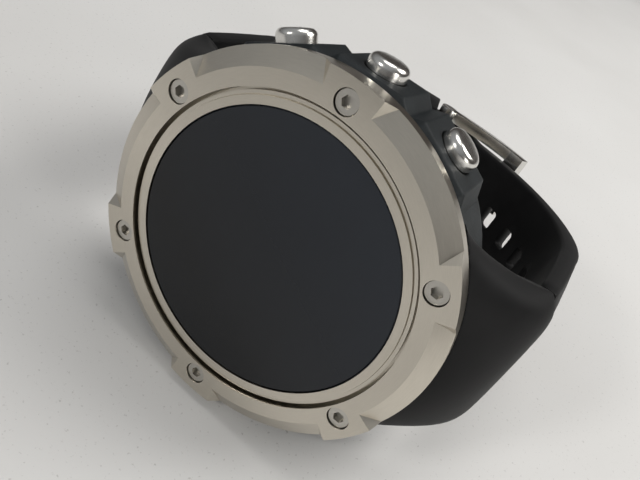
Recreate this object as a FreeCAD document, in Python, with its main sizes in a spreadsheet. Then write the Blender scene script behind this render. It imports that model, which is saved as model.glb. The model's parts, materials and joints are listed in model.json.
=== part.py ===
"""Wrist dive computer: steel bezel, polymer case, pushers, module, strap and pin buckle.

The head is drawn with its display axis along Y: the bezel's top is y = 0, depth grows towards
the wrist, X is to the wearer's right across the dial and Z is up towards the pushers. Every
piece is then placed leaning back, as the watch lies on its side on a table.
"""
import FreeCAD, Part
import Sketcher
import math
import os
import re

Vector = FreeCAD.Vector

doc = FreeCAD.newDocument("DiveComputer")
sheet = doc.addObject("Spreadsheet::Sheet", "Sizes")

DIMENSIONS = [
    # bezel and lens
    ("bezel_outer_radius", 25.5),
    ("bezel_inner_radius", 20.9),
    ("bezel_flat_radius", 23.1),
    ("bezel_thickness", 2.9),
    ("bezel_chamfer_depth", 1.4),
    ("bezel_seat_depth", 2.0),
    ("land_half_angle", 8.3),
    ("land_foot_angle", 11.2),
    ("screw_circle_radius", 22.77),
    ("bezel_screw_count", 6),
    ("screw_head_radius", 1.45),
    ("screw_head_height", 1.3),
    ("screw_head_sink", 0.3),
    ("screw_shank_radius", 0.7),
    ("screw_length", 4.4),
    ("screw_socket_width", 1.4),
    ("screw_socket_depth", 0.91),
    ("screw_clearance", 0.12),
    ("thread_clearance", 0.02),
    ("tap_extra_depth", 0.3),
    ("ring_gap", 0.4),
    ("ring_face_depth", 0.3),
    ("ring_step_depth", 0.6),
    ("ring_step_width", 0.55),
    ("ring_step_slope", 0.1),
    ("ring_flange_width", 1.1),
    ("ring_flange_gap", 0.2),
    ("ring_flange_thickness", 0.5),
    ("ring_ledge_width", 0.95),
    ("lens_radius", 18.8),
    ("lens_depth", 0.4),
    ("lens_thickness", 1.6),
    ("lens_edge_bevel", 0.2),
    ("lens_gap", 0.05),
    ("gasket_thickness", 0.3),
    ("gasket_width", 0.55),
    # display module
    ("module_radius", 17.7),
    ("mask_width", 1.2),
    ("mask_thickness", 0.25),
    ("panel_thickness", 1.25),
    ("diffuser_thickness", 0.8),
    ("frame_plate_thickness", 0.6),
    ("frame_skirt_thickness", 0.7),
    ("frame_skirt_depth", 4.8),
    ("frame_post_radius", 1.0),
    ("frame_post_circle", 15.5),
    ("frame_post_height", 1.4),
    ("board_radius", 18.4),
    ("board_thickness", 0.8),
    ("chip_height", 1.2),
    ("battery_width", 24.0),
    ("battery_height", 17.0),
    ("battery_thickness", 3.6),
    ("battery_across", -3.0),
    ("battery_rise", -2.0),
    ("battery_pad_thickness", 0.3),
    ("battery_pad_width", 19.2),
    ("battery_pad_height", 13.6),
    ("shield_large_width", 10.8),
    ("shield_large_height", 10.2),
    ("shield_large_across", -6.5),
    ("shield_large_rise", -2.0),
    ("shield_small_width", 7.2),
    ("shield_small_height", 8.5),
    ("shield_small_across", 4.0),
    ("shield_small_rise", -2.5),
    ("motor_radius", 3.6),
    ("motor_thickness", 2.7),
    ("motor_across", 13.1),
    ("motor_rise", -7.6),
    ("beeper_radius", 4.6),
    ("beeper_thickness", 0.6),
    ("beeper_across", -12.5),
    # case and back
    ("case_radius", 24.3),
    ("case_depth", 11.7),
    ("case_mouth_radius", 21.2),
    ("case_cavity_radius", 20.6),
    ("case_floor_thickness", 1.6),
    ("back_opening_radius", 18.4),
    ("back_radius", 23.6),
    ("back_thickness", 1.8),
    ("back_bevel", 0.8),
    ("back_screw_circle", 20.4),
    ("back_screw_count", 4),
    ("back_screw_radius", 0.6),
    ("back_screw_head", 1.3),
    ("back_screw_length", 3.6),
    ("back_boss_radius", 1.6),
    ("back_boss_height", 2.6),
    ("boss_wall_inset", 0.1),
    ("boss_floor_overlap", 0.5),
    ("boss_blind_depth", 0.4),
    ("back_screw_sink", 0.1),
    ("back_screw_head_height", 0.8),
    ("back_screw_clearance", 0.1),
    ("back_socket_depth", 0.5),
    ("window_radius", 6.0),
    ("window_thickness", 1.6),
    ("window_lip", 0.8),
    ("window_gap", 0.05),
    ("optic_board_radius", 4.8),
    ("optic_board_thickness", 0.6),
    ("contact_radius", 0.8),
    ("contact_spacing", 2.6),
    ("contact_offset", 11.5),
    ("contact_count", 4),
    ("contact_inset", 0.8),
    ("contact_stand", 0.1),
    # depth sensor
    ("port_angle", 270),
    ("port_depth", 9.0),
    ("port_radius", 3.0),
    ("port_cover_thickness", 0.7),
    ("port_hole_radius", 0.35),
    ("port_hole_circle", 1.5),
    ("port_hole_count", 5),
    ("depth_sensor_radius", 2.2),
    ("depth_sensor_length", 1.7),
    ("port_cover_sink", 0.1),
    ("port_chamber_depth", 0.8),
    ("port_pocket_reach", 4.0),
    ("port_throat_radius", 0.9),
    # pushers
    ("pusher_middle_angle", 91.0),
    ("pusher_spacing_angle", 27.8),
    ("pusher_count", 3),
    ("pusher_depth", 8.4),
    ("pusher_cap_radius", 2.65),
    ("pusher_cap_top", 27.5),
    ("pusher_cap_height", 2.3),
    ("pusher_cap_round", 0.6),
    ("pusher_stem_radius", 0.9),
    ("pusher_stem_end", 19.85),
    ("pusher_travel", 0.8),
    ("pusher_pocket_floor", 22.6),
    ("pusher_side_gap", 0.2),
    ("stem_running_gap", 0.05),
    ("stem_bore_lead", 2.0),
    ("spring_radius", 2.1),
    ("spring_wall", 0.6),
    ("seal_radius", 1.6),
    ("seal_thickness", 0.7),
    ("seal_inset", 0.6),
    ("clip_radius", 1.6),
    ("clip_thickness", 0.25),
    ("clip_gap", 0.15),
    ("guard_top_radius", 25.6),
    ("guard_top_half_width", 4.5),
    ("guard_foot_half_width", 6.5),
    ("guard_height", 2.0),
    ("guard_front", 3.4),
    ("guard_length", 9.6),
    ("guard_bevel", 0.7),
    ("guard_root_depth", 2.0),
    ("switch_width", 3.4),
    ("switch_height", 2.8),
    ("switch_length", 1.4),
    ("switch_gap", 0.05),
    # strap
    ("loop_half_width", 34.3),
    ("loop_rear_length", 35.5),
    ("loop_front_length", 98.0),
    ("loop_centre_depth", 37.0),
    ("strap_seam_depth", 17.4),
    ("strap_lug_width", 26.0),
    ("strap_buckle_width", 20.0),
    ("strap_lug_thickness", 4.4),
    ("strap_thickness", 3.0),
    ("even_thickness_angle", 45.0),
    ("strap_lap_gap", 0.5),
    ("strap_seam_gap", 0.3),
    ("tail_end_angle", -42.0),
    ("ramp_start_angle", 2.0),
    ("ramp_end_angle", 13.0),
    ("hole_first_angle", 21.5),
    ("hole_step_angle", 12.4),
    ("hole_length", 3.0),
    ("hole_width", 4.0),
    ("holes_ahead", 5),
    ("holes_behind", 3),
    ("end_case_gap", 0.05),
    ("end_depth", 16.4),
    ("end_root_half_height", 17.4),
    ("end_flat_half_height", 8.0),
    ("end_rim_depth", 11.0),
    ("end_wing_front", 12.0),
    ("end_crown", 2.6),
    ("end_bezel_gap", 0.2),
    ("end_step_width", 2.0),
    ("end_wing_overlap", 0.4),
    ("end_wing_shoulder", 0.8),
    ("end_wing_hollow", 0.3),
    ("seam_overlap", 0.5),
    ("pin_radius", 0.8),
    ("pin_half_length", 10.5),
    ("pin_inset", 2.2),
    ("pin_rise", 2.4),
    ("knuckle_radius", 1.4),
    ("knuckle_half_width", 7.5),
    ("knuckle_gap", 0.25),
    # buckle and keepers
    ("bar_angle", -5.5),
    ("bar_radius", 0.8),
    ("bar_running_gap", 0.05),
    ("frame_end_angle", 24.5),
    ("frame_bar_length", 3.6),
    ("frame_side_width", 2.2),
    ("frame_side_thickness", 2.0),
    ("frame_side_gap", 0.5),
    ("frame_strap_gap", 0.3),
    ("frame_eye_radius", 1.9),
    ("tongue_half_width", 1.3),
    ("tongue_thickness", 1.3),
    ("tongue_eye_radius", 1.55),
    ("tongue_knee_angle", 10.0),
    ("tongue_knee_rise", 3.7),
    ("tongue_gap", 0.3),
    ("tongue_rest_gap", 0.05),
    ("tongue_tip_lift", 0.9),
    ("tongue_tip_angle", 28.0),
    ("buckle_swing", 4.0),
    ("keeper_wall", 1.2),
    ("keeper_gap", 0.45),
    ("keeper_length", 5.2),
    ("fixed_keeper_angle", -14.3),
    ("free_keeper_angle", -29.0),
]

for row, (alias, value) in enumerate(DIMENSIONS, start=1):
    sheet.set("A%d" % row, alias)
    sheet.set("B%d" % row, str(value))
    sheet.setAlias("B%d" % row, alias)
doc.recompute()


def size(alias):
    """The value of one cell of the sheet."""
    return float(sheet.get(alias))


# ---------------------------------------------------------------- placing

Y_AXIS = Vector(0, 1, 0)
X_AXIS = Vector(1, 0, 0)
Z_AXIS = Vector(0, 0, 1)
HEAD_CENTRE = Vector(0, 0, 0)


def loop_point(angle, offset=0.0):
    """Point of the strap's middle line at an angle from the loop's rear, moved outwards."""
    turn = math.radians(angle)
    half_width = size("loop_half_width") - size("strap_thickness") / 2
    rear = size("loop_rear_length") - size("strap_thickness") / 2
    length = rear if math.cos(turn) >= 0 else size("loop_front_length")
    point = Vector(half_width * math.sin(turn), length * math.cos(turn), 0)
    outward = Vector(length * math.sin(turn), half_width * math.cos(turn), 0).normalize()
    return point + Vector(0, size("loop_centre_depth"), 0) + outward * offset


def loop_outward(angle):
    """Unit vector out of the loop at an angle from its rear."""
    return (loop_point(angle, 1.0) - loop_point(angle, 0.0)).normalize()


def bar_centre():
    return loop_point(size("bar_angle"))


def frame_half_width():
    """Half the buckle frame's width, outside its side bars."""
    return size("strap_buckle_width") / 2 + size("frame_side_gap") + size("frame_side_width")


def lean_angle():
    """Lean at which the bezel's back edge and the buckle's side stand on one table."""
    reach = bar_centre().y - size("bezel_thickness")
    rise = size("bezel_outer_radius") - frame_half_width()
    return math.degrees(math.atan2(rise, reach))


LEAN = FreeCAD.Placement(HEAD_CENTRE, FreeCAD.Rotation(X_AXIS, -lean_angle()))
parts = {}


def keep(item, label):
    """Name a finished sub-part and remember it for placing and export."""
    item.Label = label
    parts[label] = item
    return item


# ---------------------------------------------------------------- building blocks

def bound(expression):
    """An expression written with bare aliases, as the document reads it."""
    return re.sub(r"[a-z]+(_[a-z]+)+", lambda word: "Sizes." + word.group(0), expression)


def value_of(expression):
    return float(sheet.evalExpression(expression))


def bind(item, **expressions):
    for name, expression in expressions.items():
        item.setExpression(name, bound(expression))
    return item


def tie_vertex(sketch, line, expression, kind, axis):
    """Tie the start of one sketch line to an expression measured from the origin."""
    if expression == "0":
        sketch.addConstraint(Sketcher.Constraint("PointOnObject", line, 1, axis))
        return
    distance = Sketcher.Constraint(kind, -1, 1, line, 1, value_of(expression))
    index = sketch.addConstraint(distance)
    sketch.setExpression("Constraints[%d]" % index, bound(expression))


def turned(name, outline):
    """Body turned about the head's axis from (radius, depth) expressions."""
    body = doc.addObject("PartDesign::Body", name)
    sketch = body.newObject("Sketcher::SketchObject", name + "_outline")
    plane = [item for item in body.Origin.OriginFeatures if item.Role == "XY_Plane"][0]
    sketch.AttachmentSupport = [(plane, "")]
    sketch.MapMode = "FlatFace"
    corners = [Vector(value_of(radius), value_of(depth), 0) for radius, depth in outline]
    count = len(corners)
    for line in range(count):
        sketch.addGeometry(Part.LineSegment(corners[line], corners[(line + 1) % count]), False)
    for line in range(count):
        following = (line + 1) % count
        sketch.addConstraint(Sketcher.Constraint("Coincident", line, 2, following, 1))
    for line, (radius, depth) in enumerate(outline):
        tie_vertex(sketch, line, radius, "DistanceX", -2)
        tie_vertex(sketch, line, depth, "DistanceY", -1)
    revolution = body.newObject("PartDesign::Revolution", name + "_turn")
    revolution.Profile = sketch
    revolution.ReferenceAxis = (sketch, ["V_Axis"])
    revolution.Angle = 360
    doc.recompute()
    return body


def ring(name, inner, outer, front, back):
    """Plain ring or disc between two radii and two depths."""
    return turned(name, [(inner, front), (outer, front), (outer, back), (inner, back)])


def round_edge(body, radius, height, amount):
    """Fillet the circular edge of a turned body at a given radius and height."""
    edges = []
    for index, edge in enumerate(body.Shape.Edges, start=1):
        curve = edge.Curve
        if isinstance(curve, Part.Circle) and abs(curve.Radius - value_of(radius)) < 1e-6:
            if abs(edge.CenterOfMass.y - value_of(height)) < 1e-6:
                edges.append("Edge%d" % index)
    turned_feature = body.Tip
    fillet = body.newObject("PartDesign::Fillet", body.Name + "_round")
    fillet.Base = (turned_feature, edges)
    bind(fillet, Radius=amount)
    body.Tip = fillet
    doc.recompute()


def rod(name, radius, length, start, direction):
    """Cylinder from a start point along a direction."""
    cylinder = doc.addObject("Part::Cylinder", name)
    bind(cylinder, Radius=radius, Height=length)
    cylinder.Placement = FreeCAD.Placement(start, FreeCAD.Rotation(Z_AXIS, direction))
    return cylinder


def hexagon(name, width, length, start, direction):
    """Six-sided prism of a given width across flats."""
    prism = doc.addObject("Part::Prism", name)
    prism.Polygon = 6
    bind(prism, Circumradius="(%s) / sqrt(3)" % width, Height=length)
    prism.Placement = FreeCAD.Placement(start, FreeCAD.Rotation(Z_AXIS, direction))
    return prism


def block(name, across, deep, high, centre, depth):
    """Box centred on (x, z) that starts at a depth."""
    box = doc.addObject("Part::Box", name)
    bind(box, Length=across, Width=deep, Height=high)
    corner = Vector(centre[0] - value_of(across) / 2, depth, centre[1] - value_of(high) / 2)
    box.Placement = FreeCAD.Placement(corner, FreeCAD.Rotation())
    return box


def free_shape(name, shape):
    """Sub-part or tool whose outline no primitive has."""
    feature = doc.addObject("Part::Feature", name)
    feature.Shape = shape
    return feature


def joined(name, pieces):
    fusion = doc.addObject("Part::MultiFuse", name)
    fusion.Shapes = pieces
    return fusion


def grouped(name, pieces):
    group = doc.addObject("Part::Compound", name)
    group.Links = pieces
    return group


def cut(name, base, tools):
    result = doc.addObject("Part::Cut", name)
    result.Base = base
    result.Tool = tools[0] if len(tools) == 1 else joined(name + "_tools", tools)
    return result


def at_angle(radius, angle, depth):
    """Point at a radius and an angle round the dial, at a depth."""
    turn = math.radians(angle)
    return Vector(radius * math.cos(turn), depth, radius * math.sin(turn))


def radial(angle):
    return at_angle(1.0, angle, 0.0)


def round_positions(radius, count, first_angle, depth):
    """Points spaced evenly round the dial."""
    return [at_angle(radius, first_angle + 360.0 * step / count, depth) for step in range(count)]


def extruded_plan(wire, half_height):
    """Solid from a closed plan outline, equally far above and below the middle plane."""
    face = Part.Face(wire)
    face.translate(Vector(0, 0, -half_height))
    return face.extrude(Vector(0, 0, 2 * half_height))


def closed_line(points):
    return Part.makePolygon(list(points) + [points[0]])


# ---------------------------------------------------------------- bezel and lens

RING_OUTER = "bezel_inner_radius - ring_gap"
FLANGE_OUTER = "bezel_inner_radius - ring_gap + ring_flange_width"
FLANGE_BACK = "bezel_seat_depth + ring_flange_thickness"
LENS_BACK = "lens_depth + lens_thickness"
LEDGE_DEPTH = LENS_BACK + " + gasket_thickness"
MASK_BACK = LENS_BACK + " + mask_thickness"
PANEL_BACK = MASK_BACK + " + panel_thickness"
DIFFUSER_BACK = PANEL_BACK + " + diffuser_thickness"
PLATE_BACK = DIFFUSER_BACK + " + frame_plate_thickness"
BOARD_FRONT = PLATE_BACK + " + frame_post_height"
BOARD_BACK = BOARD_FRONT + " + board_thickness"
CHIP_BACK = BOARD_BACK + " + chip_height"
PAD_BACK = CHIP_BACK + " + battery_pad_thickness"
CASE_BACK = "bezel_thickness + case_depth"
FLOOR_FRONT = CASE_BACK + " - case_floor_thickness"
SCREW_SEAT = "screw_head_sink + screw_head_height"


def chamfer_gap_tool():
    """Wedges between the lands: the sloping edge, ended by one flat facet at each land."""
    flat = size("bezel_flat_radius")
    outer = size("bezel_outer_radius")
    depth = size("bezel_chamfer_depth")
    beyond = outer + depth
    slope_end = depth * (beyond - flat) / (outer - flat)
    profile = closed_line([Vector(flat, 0, 0), Vector(beyond, 0, 0), Vector(beyond, slope_end, 0)])
    pitch = 360.0 / size("bezel_screw_count")
    half_angle = size("land_half_angle")
    wedge = Part.Face(profile).revolve(HEAD_CENTRE, Y_AXIS, pitch - 2 * half_angle)
    wedge.rotate(HEAD_CENTRE, Y_AXIS, -(pitch - half_angle))
    for start, foot in ((half_angle, size("land_foot_angle")),
                        (pitch - half_angle, pitch - size("land_foot_angle"))):
        inner_corner = at_angle(flat, start, 0)
        outer_corner = at_angle(outer, start, 0)
        foot_corner = at_angle(outer, foot, depth)
        normal = (outer_corner - inner_corner).cross(foot_corner - inner_corner).normalize()
        towards_land = at_angle(flat, start - 5 if foot > start else start + 5, 0) - inner_corner
        if normal.dot(towards_land) < 0:
            normal = normal * -1
        keep_side = Part.makeBox(outer, outer, outer)
        keep_side.translate(Vector(-outer / 2, -outer / 2, 0))
        keep_side.Placement = FreeCAD.Placement(
            inner_corner, FreeCAD.Rotation(Z_AXIS, normal)).multiply(keep_side.Placement)
        wedge = wedge.cut(keep_side)
    wedges = []
    for step in range(int(size("bezel_screw_count"))):
        copy = wedge.copy()
        copy.rotate(HEAD_CENTRE, Y_AXIS, -(90.0 + pitch * step))
        wedges.append(copy)
    return free_shape("bezel_wedges", Part.makeCompound(wedges))


def bezel_screw_places(depth):
    count = int(size("bezel_screw_count"))
    return round_positions(size("screw_circle_radius"), count, 90.0, depth)


def make_bezel():
    seat_radius = FLANGE_OUTER + " + ring_flange_gap"
    plain = turned("bezel_ring", [
        ("bezel_inner_radius", "0"), ("bezel_outer_radius", "0"),
        ("bezel_outer_radius", "bezel_thickness"), (seat_radius, "bezel_thickness"),
        (seat_radius, "bezel_seat_depth"), ("bezel_inner_radius", "bezel_seat_depth")])
    tools = [chamfer_gap_tool()]
    for index, place in enumerate(bezel_screw_places(0)):
        tools.append(rod("bezel_recess_%d" % index, "screw_head_radius + screw_clearance",
                         SCREW_SEAT, place, Y_AXIS))
        tools.append(rod("bezel_hole_%d" % index, "screw_shank_radius + screw_clearance",
                         "bezel_thickness", place, Y_AXIS))
    keep(cut("bezel_cut", plain, tools), "bezel")


def make_bezel_screws():
    screws = []
    for index, place in enumerate(bezel_screw_places(0)):
        head_front = place + Y_AXIS * size("screw_head_sink")
        head = rod("screw_head_%d" % index, "screw_head_radius", "screw_head_height",
                   head_front, Y_AXIS)
        shank = rod("screw_shank_%d" % index, "screw_shank_radius", "screw_length",
                    place + Y_AXIS * value_of(SCREW_SEAT), Y_AXIS)
        socket = hexagon("screw_socket_%d" % index, "screw_socket_width",
                         "screw_socket_depth", head_front, Y_AXIS)
        body = joined("screw_body_%d" % index, [head, shank])
        screws.append(cut("screw_%d" % index, body, [socket]))
    keep(grouped("screw_set", screws), "bezel_screws")


def make_lens_stack():
    pocket = "lens_radius + lens_gap"
    step_radius = RING_OUTER + " - ring_step_width"
    step_foot = step_radius + " + ring_step_slope"
    keep(turned("ring_turned", [
        (pocket, "ring_face_depth"), (step_radius, "ring_face_depth"),
        (step_foot, "ring_step_depth"), (RING_OUTER, "ring_step_depth"),
        (RING_OUTER, "bezel_seat_depth"), (FLANGE_OUTER, "bezel_seat_depth"),
        (FLANGE_OUTER, FLANGE_BACK), (RING_OUTER, FLANGE_BACK),
        (RING_OUTER, "bezel_thickness"), (pocket + " - ring_ledge_width", "bezel_thickness"),
        (pocket + " - ring_ledge_width", LEDGE_DEPTH), (pocket, LEDGE_DEPTH)]), "lens_ring")
    keep(turned("lens_turned", [
        ("0", "lens_depth"), ("lens_radius - lens_edge_bevel", "lens_depth"),
        ("lens_radius", "lens_depth + lens_edge_bevel"), ("lens_radius", LENS_BACK),
        ("0", LENS_BACK)]), "lens")
    keep(ring("lens_gasket_ring", "lens_radius - gasket_width", "lens_radius", LENS_BACK,
              LEDGE_DEPTH), "lens_gasket")
    keep(ring("case_gasket_ring", "case_mouth_radius", FLANGE_OUTER, FLANGE_BACK,
              "bezel_thickness"), "case_gasket")


# ---------------------------------------------------------------- display and electronics

def make_display():
    keep(ring("mask_ring", "module_radius - mask_width", "module_radius", LENS_BACK,
              MASK_BACK), "display_mask")
    keep(ring("panel_disc", "0", "module_radius", MASK_BACK, PANEL_BACK), "display_panel")
    keep(ring("diffuser_disc", "0", "module_radius", PANEL_BACK, DIFFUSER_BACK),
         "backlight_diffuser")


def make_inner_frame():
    skirt_outer = "case_cavity_radius - ring_flange_gap"
    skirt_inner = skirt_outer + " - frame_skirt_thickness"
    skirt_back = PLATE_BACK + " + frame_skirt_depth"
    tray = turned("frame_tray", [
        ("0", DIFFUSER_BACK), ("case_mouth_radius - ring_flange_gap", DIFFUSER_BACK),
        ("case_mouth_radius - ring_flange_gap", PLATE_BACK), (skirt_outer, PLATE_BACK),
        (skirt_outer, skirt_back), (skirt_inner, skirt_back), (skirt_inner, PLATE_BACK),
        ("0", PLATE_BACK)])
    posts = []
    for index, place in enumerate(round_positions(size("frame_post_circle"), 4, 0.0,
                                                  value_of(PLATE_BACK))):
        posts.append(rod("frame_post_%d" % index, "frame_post_radius", "frame_post_height",
                         place, Y_AXIS))
    windows = []
    for index, angle in enumerate(pusher_angles()):
        windows.append(rod("frame_window_%d" % index, "clip_radius + pusher_side_gap * 2",
                           "case_cavity_radius", HEAD_CENTRE + Y_AXIS * size("pusher_depth"),
                           radial(angle)))
    core = rod("frame_window_core", skirt_inner, "frame_skirt_depth",
               Y_AXIS * value_of(PLATE_BACK), Y_AXIS)
    window_set = cut("frame_windows", joined("frame_window_rods", windows), [core])
    keep(joined("frame_joined", [cut("frame_open", tray, [window_set])] + posts), "inner_frame")


def make_electronics():
    keep(ring("board_disc", "0", "board_radius", BOARD_FRONT, BOARD_BACK), "main_board")
    chip_depth = value_of(BOARD_BACK)
    cans = []
    for name in ("shield_large", "shield_small"):
        centre = (size(name + "_across"), size(name + "_rise"))
        cans.append(block(name, name + "_width", "chip_height", name + "_height", centre,
                          chip_depth))
    keep(grouped("shield_pair", cans), "shield_cans")
    centre = (size("battery_across"), size("battery_rise"))
    pad = block("pad", "battery_pad_width", "battery_pad_thickness", "battery_pad_height",
                centre, value_of(CHIP_BACK))
    keep(grouped("pad_block", [pad]), "battery_pad")
    cell = block("cell", "battery_width", "battery_thickness", "battery_height", centre,
                 value_of(PAD_BACK))
    keep(grouped("battery_block", [cell]), "battery")
    motor_place = Vector(size("motor_across"), chip_depth, size("motor_rise"))
    motor = rod("motor", "motor_radius", "motor_thickness", motor_place, Y_AXIS)
    keep(grouped("motor_disc", [motor]), "vibration_motor")
    beeper_front = Vector(size("beeper_across"),
                          value_of(CASE_BACK) - size("beeper_thickness"), 0)
    beeper = rod("beeper_plate", "beeper_radius", "beeper_thickness", beeper_front, Y_AXIS)
    keep(grouped("beeper_disc", [beeper]), "beeper")
    switches = []
    tip = size("pusher_stem_end") - size("pusher_travel") - size("switch_gap")
    for index, angle in enumerate(pusher_angles()):
        switch = block("switch_%d" % index, "switch_width", "switch_height", "switch_length",
                       (0.0, tip - size("switch_length") / 2), chip_depth)
        turn = FreeCAD.Placement(HEAD_CENTRE, FreeCAD.Rotation(Y_AXIS, 90.0 - angle))
        switch.Placement = turn.multiply(switch.Placement)
        switches.append(switch)
    keep(grouped("switch_set", switches), "tactile_switches")


# ---------------------------------------------------------------- case and back

def pusher_angles():
    count = int(size("pusher_count"))
    middle = size("pusher_middle_angle")
    return [middle + size("pusher_spacing_angle") * ((count - 1) / 2 - step)
            for step in range(count)]


def guard(index, angle):
    """Trapezoid shoulder round one pusher, with a bevelled front edge."""
    top = size("guard_top_radius")
    foot = top - size("guard_height")
    front = size("guard_front")
    half_top = size("guard_top_half_width")
    half_foot = size("guard_foot_half_width")
    root = foot - size("guard_root_depth")
    outline = closed_line([
        Vector(-half_foot, front, root), Vector(-half_foot, front, foot),
        Vector(-half_top, front, top), Vector(half_top, front, top),
        Vector(half_foot, front, foot), Vector(half_foot, front, root)])
    solid = Part.Face(outline).extrude(Y_AXIS * size("guard_length"))
    front_edges = [edge for edge in solid.Edges
                   if abs(edge.CenterOfMass.y - front) < 1e-6 and edge.CenterOfMass.z > foot]
    solid = solid.makeChamfer(size("guard_bevel"), front_edges)
    solid.rotate(HEAD_CENTRE, Y_AXIS, 90.0 - angle)
    return free_shape("guard_%d" % index, solid)


def back_screw_places(depth):
    count = int(size("back_screw_count"))
    return round_positions(size("back_screw_circle"), count, 45.0, depth)


def make_case():
    wall = turned("case_wall", [
        ("case_mouth_radius", "bezel_thickness"), ("case_radius", "bezel_thickness"),
        ("case_radius", CASE_BACK), ("back_opening_radius", CASE_BACK),
        ("back_opening_radius", FLOOR_FRONT), ("case_cavity_radius", FLOOR_FRONT),
        ("case_cavity_radius", PLATE_BACK), ("case_mouth_radius", PLATE_BACK)])
    adds = [wall]
    cuts = []
    bore = rod("case_bore", "case_cavity_radius", FLOOR_FRONT, HEAD_CENTRE, Y_AXIS)
    guards = [guard(index, angle) for index, angle in enumerate(pusher_angles())]
    adds.append(cut("guards_hollowed", joined("guard_set", guards), [bore]))
    depth = value_of(FLOOR_FRONT) - size("back_boss_height")
    shell = rod("boss_limit", "case_radius - boss_wall_inset", CASE_BACK, HEAD_CENTRE, Y_AXIS)
    bosses = [rod("boss_%d" % index, "back_boss_radius", "back_boss_height + boss_floor_overlap", place,
                  Y_AXIS)
              for index, place in enumerate(back_screw_places(depth))]
    inside = doc.addObject("Part::Common", "bosses_inside")
    inside.Base = joined("boss_set", bosses)
    inside.Tool = shell
    adds.append(inside)
    for index, angle in enumerate(pusher_angles()):
        start = at_angle(size("pusher_pocket_floor"), angle, size("pusher_depth"))
        cuts.append(rod("pocket_%d" % index, "pusher_cap_radius + pusher_side_gap",
                        "pusher_cap_radius * 2", start, radial(angle)))
        start = at_angle(size("pusher_stem_end") - size("stem_bore_lead"), angle,
                         size("pusher_depth"))
        cuts.append(rod("stem_bore_%d" % index, "pusher_stem_radius + stem_running_gap",
                        "case_radius - pusher_stem_end + stem_bore_lead", start, radial(angle)))
        start = at_angle(size("case_cavity_radius") + size("seal_inset"), angle,
                         size("pusher_depth"))
        cuts.append(rod("gland_%d" % index, "seal_radius", "seal_thickness", start,
                        radial(angle)))
    for index, place in enumerate(bezel_screw_places(size("bezel_thickness"))):
        cuts.append(rod("tap_%d" % index, "screw_shank_radius + thread_clearance",
                        SCREW_SEAT + " + screw_length - bezel_thickness + tap_extra_depth", place, Y_AXIS))
    for index, place in enumerate(back_screw_places(depth + size("boss_blind_depth"))):
        cuts.append(rod("back_tap_%d" % index, "back_screw_radius + thread_clearance", "case_depth", place,
                        Y_AXIS))
    cuts.append(ring("back_groove", "back_opening_radius + gasket_width / 2",
                     "back_opening_radius + gasket_width * 1.5",
                     CASE_BACK + " - gasket_thickness", CASE_BACK + " + 1"))
    port = radial(size("port_angle"))
    place = Y_AXIS * size("port_depth")
    cover_seat = size("case_radius") - size("port_cover_thickness") - size("port_cover_sink")
    sensor_back = cover_seat - size("port_chamber_depth")
    pocket_start = sensor_back - size("depth_sensor_length") - size("port_pocket_reach")
    cuts.append(rod("port_recess", "port_radius", "port_radius", place + port * cover_seat, port))
    cuts.append(rod("port_throat", "port_throat_radius", "case_radius / 2",
                    place + port * (size("case_radius") / 2), port))
    cuts.append(rod("port_pocket", "depth_sensor_radius", "depth_sensor_length + port_pocket_reach",
                    place + port * pocket_start, port))
    keep(cut("case_cut", joined("case_joined", adds), cuts), "case")


def make_depth_sensor():
    port = radial(size("port_angle"))
    place = Y_AXIS * size("port_depth")
    cover_seat = size("case_radius") - size("port_cover_thickness") - size("port_cover_sink")
    sensor_front = cover_seat - size("port_chamber_depth") - size("depth_sensor_length")
    keep(grouped("sensor_can", [rod("sensor", "depth_sensor_radius", "depth_sensor_length",
                                    place + port * sensor_front, port)]), "depth_sensor")
    disc = rod("port_disc", "port_radius", "port_cover_thickness", place + port * cover_seat,
               port)
    holes = []
    count = int(size("port_hole_count"))
    across = port.cross(Y_AXIS)
    for step in range(count):
        turn = 2 * math.pi * step / count
        offset = (across * math.cos(turn) + Y_AXIS * math.sin(turn)) * size("port_hole_circle")
        holes.append(rod("port_hole_%d" % step, "port_hole_radius", "port_radius",
                         place + port * (cover_seat - 1) + offset, port))
    keep(cut("port_cover_cut", disc, holes), "port_cover")


def contact_places(depth):
    count = int(size("contact_count"))
    spacing = size("contact_spacing")
    return [Vector(spacing * (step - (count - 1) / 2), depth, size("contact_offset"))
            for step in range(count)]


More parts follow.
